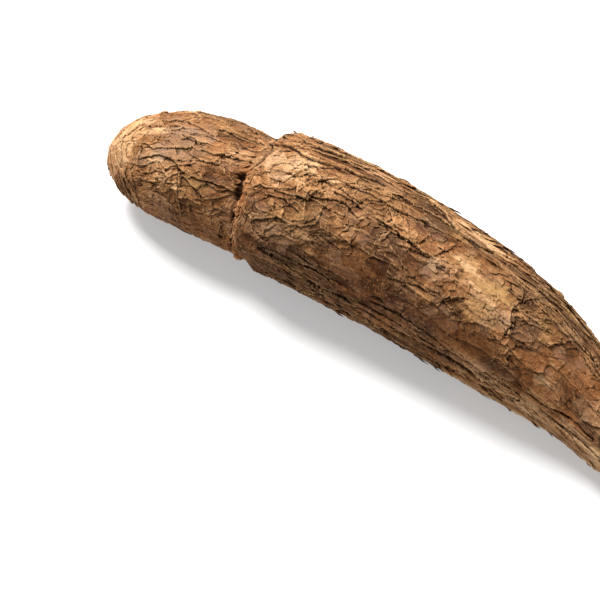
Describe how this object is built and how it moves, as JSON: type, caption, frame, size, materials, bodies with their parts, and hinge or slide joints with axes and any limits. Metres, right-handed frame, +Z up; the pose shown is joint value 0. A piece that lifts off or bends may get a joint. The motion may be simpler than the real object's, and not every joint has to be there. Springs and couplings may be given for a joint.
{
  "type": "cassava root",
  "caption": "Whole cassava root, a starchy food root, with rough flaking brown bark, a blunt neck, a raised bark ring and a tapering tail, lying on its flatter side.",
  "frame": {"origin": "centre of the underside of the bounding box, on the surface that the root lies on", "axes": "+X along the root from its blunt neck to its tapering tail, +Y towards the outer side of its slight bend, +Z up"},
  "size_m": [0.305, 0.0714, 0.069],
  "materials": {
    "bark": "rough flaking brown root bark, matt, in thin papery scales with dark cracks between them"
  },
  "bodies": {
    "root": {"cassava_root": "bark"}
  },
  "joints": []
}
